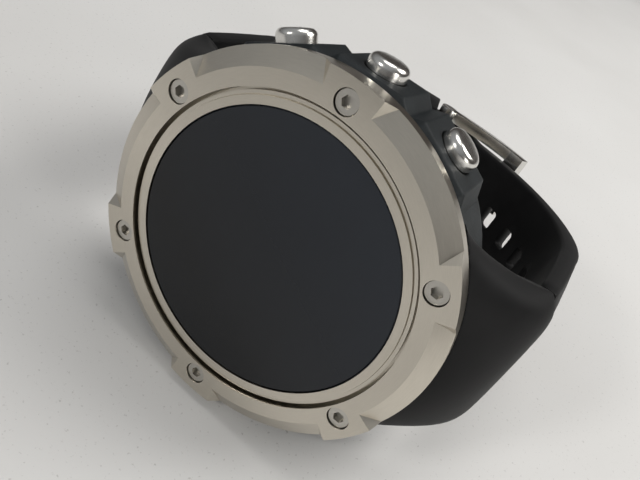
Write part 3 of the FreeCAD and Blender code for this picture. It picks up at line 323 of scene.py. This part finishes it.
STEEL = (0.58, 0.54, 0.47)
FINISHES = {
    "steel": brushed_steel("steel_finish", STEEL, 0.30, 0.72, 0.00002),
    "screw_steel": brushed_steel("screw_steel_finish", (0.50, 0.48, 0.44), 0.36, 0.2, 0.00002),
    "polished_steel": polished_steel("polished_steel_finish", (0.70, 0.69, 0.66), 0.18),
    "glass": dark_glass("glass_finish"),
    "case_polymer": moulded_polymer("case_polymer_finish", (0.0075, 0.0098, 0.0112), 0.52, 0.0005),
    "strap_silicone": silicone("strap_silicone_finish", (0.0045, 0.0045, 0.0048), 0.55),
    "seal_rubber": plain("seal_rubber_finish", (0.012, 0.012, 0.012), 0.6),
    "display": plain("display_finish", (0.008, 0.009, 0.011), 0.25),
    "white_plastic": plain("white_plastic_finish", (0.70, 0.70, 0.68), 0.5),
    "board": plain("board_finish", (0.02, 0.10, 0.05), 0.45),
    "cell": plain("cell_finish", (0.55, 0.55, 0.57), 0.4, 0.8),
    "gold": plain("gold_finish", (0.80, 0.58, 0.24), 0.25, 1.0),
    "inner_plastic": plain("inner_plastic_finish", (0.06, 0.06, 0.065), 0.5),
}


def finish_cad_nodes():
    """Give every CAD node the procedural finish of its material slot."""
    for part in frame["record"]["subparts"]:
        shown = frame["nodes"][part["node"]]
        material = FINISHES[part["material_slot"]]
        if not shown.material_slots:
            shown.data.materials.append(material)
        for slot in shown.material_slots:
            slot.material = material


finish_cad_nodes()

# ---------------------------------------------------------------- mesh helpers


def piece(name, vertices, faces, material_slot, body, stands_for, smooth_angle=40.0):
    """New mesh piece from head points in millimetres, riding on a body for a CAD node."""
    mesh = bpy.data.meshes.new(name)
    mesh.from_pydata([placed(*vertex) for vertex in vertices], [], faces)
    mesh.validate()
    bm = bmesh.new()
    bm.from_mesh(mesh)
    bmesh.ops.remove_doubles(bm, verts=bm.verts, dist=1e-7)
    bmesh.ops.recalc_face_normals(bm, faces=bm.faces)
    bm.to_mesh(mesh)
    bm.free()
    made = bpy.data.objects.new(name, mesh)
    bpy.context.collection.objects.link(made)
    finish_piece(made, material_slot, body, stands_for, smooth_angle)
    return made


def finish_piece(made, material_slot, body, stands_for, smooth_angle):
    """Finish, smoothing and body of a new piece."""
    made.data.materials.clear()
    made.data.materials.append(FINISHES[material_slot])
    shade_by_angle(made.data, smooth_angle)
    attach(made, body)
    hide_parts(*stands_for)


def shade_by_angle(mesh, degrees):
    """Smooth shading, sharp where two faces meet at more than an angle."""
    mesh.shade_smooth()
    bm = bmesh.new()
    bm.from_mesh(mesh)
    for edge in bm.edges:
        if len(edge.link_faces) == 2:
            edge.smooth = edge.calc_face_angle() < math.radians(degrees)
    bm.to_mesh(mesh)
    bm.free()


def modified(made, kind, **settings):
    """Add a modifier, apply it and leave the plain mesh."""
    modifier = made.modifiers.new(kind.lower(), kind)
    for name, value in settings.items():
        setattr(modifier, name, value)
    depsgraph = bpy.context.evaluated_depsgraph_get()
    mesh = bpy.data.meshes.new_from_object(made.evaluated_get(depsgraph))
    made.modifiers.clear()
    made.data = mesh


def tube_faces(rings, around):
    """Quads of stacked closed rings with both ends capped."""
    faces = []
    for row in range(rings - 1):
        for column in range(around):
            following = (column + 1) % around
            faces.append((row * around + column, row * around + following,
                          (row + 1) * around + following, (row + 1) * around + column))
    faces.append(tuple(range(around))[::-1])
    faces.append(tuple((rings - 1) * around + column for column in range(around)))
    return faces


# ---------------------------------------------------------------- strap

LOOP_HALF_WIDTH = 34.3
LOOP_REAR = 35.5
LOOP_FRONT = 98.0
LOOP_CENTRE = 37.0
STRAP_THICKNESS = 3.0
LUG_THICKNESS = 4.4
EVEN_ANGLE = 45.0
SEAM_DEPTH = 17.4
SEAM_GAP = 0.3
LUG_HALF = 13.0
BUCKLE_HALF = 10.0
LAP = STRAP_THICKNESS + 0.5
RAMP_START = 2.0
RAMP_END = 13.0
TAIL_END = -42.0
BAR_ANGLE = -5.5
HOLE_FIRST = 21.5
HOLE_STEP = 12.4
HOLE_LENGTH = 3.0
HOLE_WIDTH = 4.0
HOLE_FLARE = 0.9
HOLE_CORNER = 0.9
SLOT_CORNER = 0.4
SLOT_ROOM = 0.7
TONGUE_SLOT_ANGLE = 6.8
TONGUE_SLOT_LENGTH = 8.3
SEAM_CROWN = 2.2
REAR_CROWN = 0.35
CROWN_START = 74.0
CROWN_POWER = 1.5
CROWN_FLAT = 0.4
EDGE_ROUND = 0.55
RIM_DIVISOR = 2.2
BAND_STEP = 0.9
BAND_END_ANGLE = 0.6
BAND_END_SHRINK = 0.18
TIP_LEAST = 0.25
TIP_LENGTH = 9.0
CUT_INSIDE = -3.0
CUT_HOLE_MIDDLE = -0.6
CUT_SLOT_MIDDLE = 1.0
CUT_SURFACE = 1.6
CUT_OUTSIDE = 3.0
CUT_BEVEL = 0.22
SHORT_STRAP_GAP = 1.2
KNUCKLE_AROUND = 32
KNUCKLE_INSET = 0.1
KNUCKLE_ROUND = 0.4
KNUCKLE_END_SHARE = 0.7
KNUCKLE_BAR_SHARE = 0.6
TONGUE_ROOM = 1.65
SEAM_ANGLE = 90.0 + math.degrees(math.asin((LOOP_CENTRE - SEAM_DEPTH - SEAM_GAP) / LOOP_FRONT))


def loop_point(angle, offset=0.0):
    """Point (x, y) of the strap's middle line at an angle from the rear, moved outwards."""
    turn = math.radians(angle)
    across = LOOP_HALF_WIDTH - STRAP_THICKNESS / 2
    along = LOOP_REAR - STRAP_THICKNESS / 2 if math.cos(turn) >= 0 else LOOP_FRONT
    outward = Vector((along * math.sin(turn), across * math.cos(turn))).normalized()
    point = Vector((across * math.sin(turn), LOOP_CENTRE + along * math.cos(turn)))
    return point + outward * offset


def strap_thickness_at(angle):
    """Thickness, even round the rear and growing towards the seam."""
    share = (abs(angle) - EVEN_ANGLE) / (SEAM_ANGLE - EVEN_ANGLE)
    return STRAP_THICKNESS + min(1.0, max(0.0, share)) * (LUG_THICKNESS - STRAP_THICKNESS)


def strap_half_width_at(depth):
    """Half width, narrowing from the seam to the buckle."""
    share = (depth - SEAM_DEPTH) / (LOOP_CENTRE + LOOP_REAR - SEAM_DEPTH)
    return LUG_HALF + share * (BUCKLE_HALF - LUG_HALF)


def lap_offset(angle):
    """How far the long strap is lifted to lie over the short one."""
    share = min(1.0, max(0.0, (RAMP_END - angle) / (RAMP_END - RAMP_START)))
    return LAP * share * share * (3 - 2 * share)


def crown_at(angle):
    """Drop of the outer face at the rims, growing towards the seam."""
    share = min(1.0, max(0.0, (abs(angle) - CROWN_START) / (SEAM_ANGLE - CROWN_START)))
    return REAR_CROWN + (SEAM_CROWN - REAR_CROWN) * share ** CROWN_POWER


def rim_arc(level, sense, edge, radius, turns):
    """Points of a rounded rim between a level of the strap and its edge."""
    points = []
    for turn in turns:
        angle = math.radians(turn)
        points.append((level + sense * radius * (1 - math.cos(angle)),
                       edge - radius + radius * math.sin(angle)))
    return points


def strap_section(half_width, thickness, crown, shrink=0.0):
    """Closed (offset, z) outline: crowned outside, flat inside, rounded rims."""
    outside = STRAP_THICKNESS / 2 - shrink
    inside = STRAP_THICKNESS / 2 - thickness + shrink
    edge = half_width - shrink
    radius = min(EDGE_ROUND, (thickness - crown) / RIM_DIVISOR)
    outer = []
    outer_steps = 9
    for step in range(-outer_steps, outer_steps + 1):
        z = (edge - radius) * step / outer_steps
        share = max(0.0, (abs(z) / half_width - CROWN_FLAT) / (1.0 - CROWN_FLAT))
        outer.append((outside - crown * share ** 2.0, z))
    inner_steps = 5
    inner = [(inside, (edge - radius) * step / inner_steps)
             for step in range(inner_steps - 1, -inner_steps, -1)]
    rim = (rim_arc(outer[-1][0], -1, edge, radius, (30, 60, 90))
           + rim_arc(inside, 1, edge, radius, (90, 60, 30, 0)))
    return outer + rim + inner + [(offset, -z) for offset, z in reversed(rim)]


def strap_band(first, last, lift, tip_first, tip_last):
    """Vertices and faces of a band; a tip is its rounded length in degrees, or 0 for a seam."""
    count = int(abs(last - first) / BAND_STEP)
    vertices = []
    around = 0
    for step in range(count + 1):
        angle = first + (last - first) * step / count
        width = strap_half_width_at(loop_point(angle).y)
        shrink = 0.0
        for end, tip in ((first, tip_first), (last, tip_last)):
            away = abs(angle - end)
            if tip > 0 and away < tip:
                width *= max(TIP_LEAST, math.sqrt(1 - (1 - away / tip) ** 2))
            if away < BAND_END_ANGLE:
                shrink = BAND_END_SHRINK
        section = strap_section(width, strap_thickness_at(angle), crown_at(angle), shrink)
        around = len(section)
        for offset, z in section:
            point = loop_point(angle, lift(angle) + offset)
            vertices.append((point.x, point.y, z))
    return vertices, tube_faces(count + 1, around)


def hole_cutter(places):
    """Rounded rectangular prisms through the strap, as one throwaway object."""
    vertices = []
    faces = []
    for angle, length in places:
        corner = HOLE_CORNER if length < TONGUE_SLOT_LENGTH else SLOT_CORNER
        outline = []
        for quarter in range(4):
            for step in range(5):
                turn = math.radians(90 * quarter + 22.5 * step)
                side_x = 1 if quarter in (0, 3) else -1
                side_z = 1 if quarter in (0, 1) else -1
                outline.append((side_x * (length / 2 - corner) + corner * math.cos(turn),
                                side_z * (HOLE_WIDTH / 2 - corner) + corner * math.sin(turn)))
        centre = loop_point(angle, lap_offset(angle))
        outward = (loop_point(angle, 1.0) - loop_point(angle)).normalized()
        along = Vector((outward.y, -outward.x))
        start = len(vertices)
        flare = HOLE_FLARE if angle > RAMP_END else 0.0
        if length == TONGUE_SLOT_LENGTH:
            levels = ((CUT_INSIDE, SLOT_ROOM), (CUT_SLOT_MIDDLE, SLOT_ROOM))
        else:
            levels = ((CUT_INSIDE, flare / 3), (CUT_HOLE_MIDDLE, 0.0))
        levels += ((CUT_SURFACE, flare), (CUT_OUTSIDE, flare))
        for reach, extra in levels:
            for shift, z in outline:
                point = centre + outward * reach + along * (shift + math.copysign(extra, shift))
                vertices.append((point.x, point.y, z + math.copysign(extra, z)))
        faces += [tuple(start + index for index in face)
                  for face in tube_faces(len(levels), len(outline))]
    mesh = bpy.data.meshes.new("holes")
    mesh.from_pydata([placed(*vertex) for vertex in vertices], [], faces)
    bm = bmesh.new()
    bm.from_mesh(mesh)
    bmesh.ops.recalc_face_normals(bm, faces=bm.faces)
    bm.to_mesh(mesh)
    bm.free()
    cutter = bpy.data.objects.new("holes", mesh)
    bpy.context.collection.objects.link(cutter)
    return cutter


def make_long_strap():
    """Long strap with its holes; the tongue's slot takes the place of one of them."""
    vertices, faces = strap_band(SEAM_ANGLE, TAIL_END, lap_offset, 0.0, TIP_LENGTH)
    strap = piece("long_strap_band", vertices, faces, "strap_silicone", ROOT, ["long_strap"])
    numbers = [number for number in range(-4, 5) if number != -1]
    places = [(HOLE_FIRST + HOLE_STEP * number, HOLE_LENGTH) for number in numbers]
    for group in (places, [(TONGUE_SLOT_ANGLE, TONGUE_SLOT_LENGTH)]):
        cutter = hole_cutter(group)
        modified(strap, "BOOLEAN", operation="DIFFERENCE", object=cutter, solver="EXACT")
        bpy.data.objects.remove(cutter)
    modified(strap, "BEVEL", width=CUT_BEVEL * MM, segments=2, limit_method="ANGLE",
             angle_limit=math.radians(50))
    shade_by_angle(strap.data, 35.0)


def make_knuckle(name, side):
    """Part of the short strap round the buckle bar, on one side of the tongue."""
    centre = loop_point(BAR_ANGLE)
    radius = STRAP_THICKNESS / 2
    half = strap_half_width_at(centre.y) - KNUCKLE_INSET
    levels = [(-half, KNUCKLE_END_SHARE), (-half + KNUCKLE_ROUND, 1.0),
              (-TONGUE_ROOM, 1.0), (-TONGUE_ROOM, KNUCKLE_BAR_SHARE)]
    vertices = []
    for z, share in levels:
        for step in range(KNUCKLE_AROUND):
            turn = 2 * math.pi * step / KNUCKLE_AROUND
            vertices.append((centre.x + radius * share * math.cos(turn),
                             centre.y + radius * share * math.sin(turn), z * side))
    piece(name, vertices, tube_faces(len(levels), KNUCKLE_AROUND), "strap_silicone", ROOT,
          ["short_strap"])


def make_short_strap():
    """Short strap from the seam to the buckle bar, with a knuckle on each side of the tongue."""
    vertices, faces = strap_band(-SEAM_ANGLE, BAR_ANGLE - SHORT_STRAP_GAP,
                                 lambda angle: 0.0, 0.0, 0.0)
    piece("short_strap_band", vertices, faces, "strap_silicone", ROOT, ["short_strap"])
    make_knuckle("short_strap_knuckle_low", 1)
    make_knuckle("short_strap_knuckle_high", -1)


make_long_strap()
make_short_strap()

# ---------------------------------------------------------------- moulded end pieces

END_FRONT = 3.25
END_REACH = 46.0
END_DEPTH = 16.4
END_CROWN = 2.6
END_CROWN_LEAST = 0.25
END_CROWN_POWER = 7
END_RIM_INSET = 0.25
END_RIM_DROP = 1.2
END_RIM_DEPTH = 2.2
END_RIM_POWER = 5
END_TIP_POWER = 14
END_WALL = CASE_RADIUS + 0.05
END_STEPS = 44
END_CURVE_STEPS = 20
END_VOXEL = 0.25
SEAM_REACH = 0.2
SEAM_SHARE = 0.98
SEAM_INSET = 2.0
UNDERCUT = 0.86
UNDERCUT_SPREAD = 1.15
UNDERCUT_RISE = 4.0
LEAVE_MIDDLE = (2.8, 2.2, 0.4)
LEAVE_RIM = (2.0, 4.2, -3.8)
ARRIVE_MIDDLE = (-0.25, -7.6)
ARRIVE_TIP = (-1.4, 5.2)


def bezier(points, share):
    """Point of a cubic curve."""
    rest = 1.0 - share
    return (points[0] * rest ** 3 + points[1] * 3 * rest * rest * share
            + points[2] * 3 * rest * share * share + points[3] * share ** 3)


def end_slice(side, share):
    """Closed outline of an end piece at a share of its height, from the case to the seam."""
    turn = math.radians(END_REACH * share)
    radius = BEZEL_RADIUS - END_RIM_INSET
    rim = abs(share) ** END_RIM_POWER
    rim_depth = END_RIM_DROP * rim
    start = Vector((radius * math.cos(turn), END_FRONT + rim_depth, radius * math.sin(turn)))
    outer = loop_point(SEAM_ANGLE, STRAP_THICKNESS / 2)
    crown = END_CROWN_LEAST + (END_CROWN - END_CROWN_LEAST) * abs(share) ** END_CROWN_POWER
    seam_depth = SEAM_DEPTH + SEAM_REACH
    seam = Vector((outer.x - crown, seam_depth, LUG_HALF * share))
    leave_middle = Vector((math.cos(turn) * LEAVE_MIDDLE[0], LEAVE_MIDDLE[1],
                           math.sin(turn) * LEAVE_MIDDLE[2]))
    leave_rim = Vector((LEAVE_RIM[0], LEAVE_RIM[1], LEAVE_RIM[2] * share))
    leave = leave_middle * (1 - rim) + leave_rim * rim
    tip = abs(share) ** END_TIP_POWER
    arrive = Vector((ARRIVE_MIDDLE[0] + ARRIVE_TIP[0] * tip,
                     ARRIVE_MIDDLE[1] + ARRIVE_TIP[1] * tip, 0.0))
    curve = [start, start + leave, seam + arrive, seam]
    points = [bezier(curve, step / END_CURVE_STEPS) for step in range(END_CURVE_STEPS + 1)]
    inner_x = outer.x - LUG_THICKNESS
    back = share * LUG_HALF * UNDERCUT
    wall_back = back * UNDERCUT_SPREAD
    case_x = math.sqrt(END_WALL ** 2 - wall_back ** 2)
    points.append(Vector((inner_x, seam_depth, LUG_HALF * share * SEAM_SHARE)))
    points.append(Vector((inner_x - SEAM_INSET, END_DEPTH, back)))
    points.append(Vector((case_x + 0.2, END_DEPTH, back)))
    points.append(Vector((case_x, END_DEPTH - UNDERCUT_RISE, wall_back)))
    points.append(Vector((END_WALL * math.cos(turn), END_FRONT + END_RIM_DEPTH + rim_depth,
                          END_WALL * math.sin(turn))))
    return [(side * point.x, point.y, point.z) for point in points]


def make_end_pieces():
    """Moulded end pieces: a swept shell, remeshed and smoothed."""
    rows = 2 * END_STEPS + 1
    for side, name in ((1, "right"), (-1, "left")):
        vertices = []
        for step in range(-END_STEPS, END_STEPS + 1):
            vertices += end_slice(side, math.sin(math.pi / 2 * step / END_STEPS))
        faces = tube_faces(rows, len(vertices) // rows)
        made = piece("end_piece_%s" % name, vertices, faces, "strap_silicone", ROOT,
                     ["strap_end_%s" % name], 50.0)
        modified(made, "REMESH", mode="VOXEL", voxel_size=END_VOXEL * MM)
        modified(made, "SMOOTH", factor=0.5, iterations=7)
        made.data.shade_smooth()


make_end_pieces()

# ---------------------------------------------------------------- pushers

PUSHER_MIDDLE = 91.0
PUSHER_SPACING = 27.8
PUSHER_DEPTH = 8.4
CAP_RADIUS = 2.65
CAP_TOP = 27.5
CAP_FOOT = 25.2
CAP_ROUND = 0.95
CAP_CHAMFER = 0.15
CAP_DOME = 0.08
CAP_DOME_SHARE = 0.35
CAP_CENTRE_DROP = 0.01
CAP_STEPS = 8
CAP_AROUND = 72
STEM_RADIUS = 0.9
STEM_END = 19.85


def make_pushers():
    """Three pushers: a stem and a cap with a rounded top edge."""
    outline = [(0.0, STEM_END), (STEM_RADIUS, STEM_END), (STEM_RADIUS, CAP_FOOT),
               (CAP_RADIUS - CAP_CHAMFER, CAP_FOOT), (CAP_RADIUS, CAP_FOOT + CAP_CHAMFER)]
    for step in range(CAP_STEPS + 1):
        turn = math.pi / 2 * step / CAP_STEPS
        outline.append((CAP_RADIUS - CAP_ROUND * (1 - math.cos(turn)),
                        CAP_TOP - CAP_DOME - CAP_ROUND * (1 - math.sin(turn))))
    outline += [(CAP_RADIUS * CAP_DOME_SHARE, CAP_TOP - CAP_CENTRE_DROP), (0.0, CAP_TOP)]
    for number in (1, 2, 3):
        angle = math.radians(PUSHER_MIDDLE + PUSHER_SPACING * (2 - number))
        out = Vector((math.cos(angle), 0, math.sin(angle)))
        across = Vector((-math.sin(angle), 0, math.cos(angle)))
        vertices = []
        for radius, height in outline:
            for step in range(CAP_AROUND):
                turn = 2 * math.pi * step / CAP_AROUND
                point = (out * height + across * radius * math.cos(turn)
                         + Vector((0, PUSHER_DEPTH + radius * math.sin(turn), 0)))
                vertices.append(tuple(point))
        piece("pusher_cap_%d" % number, vertices, tube_faces(len(outline), CAP_AROUND),
              "polished_steel", "pusher_%d" % number, ["pusher_%d" % number], 35.0)


make_pushers()

# ---------------------------------------------------------------- softened copies

BEVEL_SEGMENTS = 3
MERGE_DISTANCE = 2e-6


def softened(source, name, material_slot, body, width):
    """Copy of a CAD node with rounded edges, standing for that node."""
    mesh = frame["nodes"][source].data.copy()
    bm = bmesh.new()
    bm.from_mesh(mesh)
    bmesh.ops.remove_doubles(bm, verts=bm.verts, dist=MERGE_DISTANCE)
    bmesh.ops.dissolve_limit(bm, angle_limit=math.radians(2.0), verts=bm.verts, edges=bm.edges)
    bm.to_mesh(mesh)
    bm.free()
    made = bpy.data.objects.new(name, mesh)
    bpy.context.collection.objects.link(made)
    modified(made, "BEVEL", width=width * MM, segments=BEVEL_SEGMENTS, limit_method="ANGLE",
             angle_limit=math.radians(40))
    finish_piece(made, material_slot, body, [source], 35.0)


softened("buckle_frame", "buckle_frame_steel", "polished_steel", "buckle_frame", 0.45)
softened("buckle_tongue", "buckle_tongue_steel", "polished_steel", "buckle_tongue", 0.3)
softened("fixed_keeper", "fixed_keeper_band", "strap_silicone", ROOT, 0.4)
softened("free_keeper", "free_keeper_band", "strap_silicone", "free_keeper", 0.4)

# ---------------------------------------------------------------- stage and light

FLOOR_SIZE = 6.0
FLOOR_LEVEL = -0.00005
ROOM_STRENGTH = 0.38
AIM_POINT = (0, 20, 0)
DAYLIGHT = (1.0, 0.985, 0.955)
LIGHTS = (
    ("window", (0.42, 0.34, 0.52), 0.40, 3.6, DAYLIGHT),
    ("ceiling", (-0.05, 0.20, 0.85), 0.55, 2.5, (1.0, 0.985, 0.965)),
    ("front", (-0.27, -0.48, 0.36), 0.10, 1.0, DAYLIGHT),
    ("side", (0.60, -0.22, 0.14), 0.14, 1.4, (1.0, 0.98, 0.94)),
)


def make_floor():
    """Pale table with a faint cloudiness and small dark specks."""
    bpy.ops.mesh.primitive_plane_add(size=FLOOR_SIZE, location=(0, 0, FLOOR_LEVEL))
    floor = bpy.context.object
    floor.name = "floor"
    material, tree, shader = new_material("floor_finish", Roughness=0.75)
    place = object_coordinates(tree)
    cloud = noise(tree, place, 9.0, 3.0)
    specks = noise(tree, place, 1500.0, 2.0, 0.6)
    pale = ramp(tree, cloud, 0.3, 0.7, (0.58, 0.572, 0.56), (0.64, 0.635, 0.625))
    speckled = tree.nodes.new("ShaderNodeMix")
    speckled.data_type = "RGBA"
    tree.links.new(ramp(tree, specks, 0.26, 0.36, (1, 1, 1), (0, 0, 0)), speckled.inputs[0])
    tree.links.new(pale, speckled.inputs[6])
    speckled.inputs[7].default_value = (0.46, 0.45, 0.44, 1.0)
    tree.links.new(speckled.outputs[2], shader.inputs["Base Color"])
    floor.data.materials.append(material)


def make_world():
    """Room that lights the watch from a darker floor to a pale top, and looks plain itself."""
    world = bpy.data.worlds.new("room")
    world.use_nodes = True
    tree = world.node_tree
    place = node(tree, "ShaderNodeTexCoord")
    mapping = tree.nodes.new("ShaderNodeMapping")
    mapping.inputs["Rotation"].default_value = (math.radians(-25), math.radians(20), 0)
    tree.links.new(place.outputs["Generated"], mapping.inputs["Vector"])
    parts = node(tree, "ShaderNodeSeparateXYZ")
    tree.links.new(mapping.outputs["Vector"], parts.inputs["Vector"])
    sky = ramp(tree, parts.outputs["Z"], 0.05, 0.75, (0.16, 0.14, 0.13), (0.86, 0.88, 0.90))
    background = tree.nodes["Background"]
    background.inputs["Strength"].default_value = ROOM_STRENGTH
    tree.links.new(sky, background.inputs["Color"])
    seen = node(tree, "ShaderNodeBackground", Color=(0.80, 0.80, 0.79, 1.0), Strength=1.0)
    path = tree.nodes.new("ShaderNodeLightPath")
    chosen = tree.nodes.new("ShaderNodeMixShader")
    tree.links.new(path.outputs["Is Camera Ray"], chosen.inputs[0])
    tree.links.new(background.outputs["Background"], chosen.inputs[1])
    tree.links.new(seen.outputs["Background"], chosen.inputs[2])
    tree.links.new(chosen.outputs["Shader"], tree.nodes["World Output"].inputs["Surface"])
    bpy.context.scene.world = world


def area_light(name, place, size, power, colour):
    """Round lamp aimed at the watch."""
    data = bpy.data.lights.new(name, "AREA")
    data.shape = "DISK"
    data.size = size
    data.energy = power
    data.color = colour
    light = bpy.data.objects.new(name, data)
    bpy.context.collection.objects.link(light)
    light.location = place
    aim = placed(*AIM_POINT) - Vector(place)
    light.rotation_euler = aim.to_track_quat("-Z", "Y").to_euler()


make_floor()
make_world()
for lamp in LIGHTS:
    area_light(*lamp)
bpy.context.scene.view_settings.view_transform = "Standard"
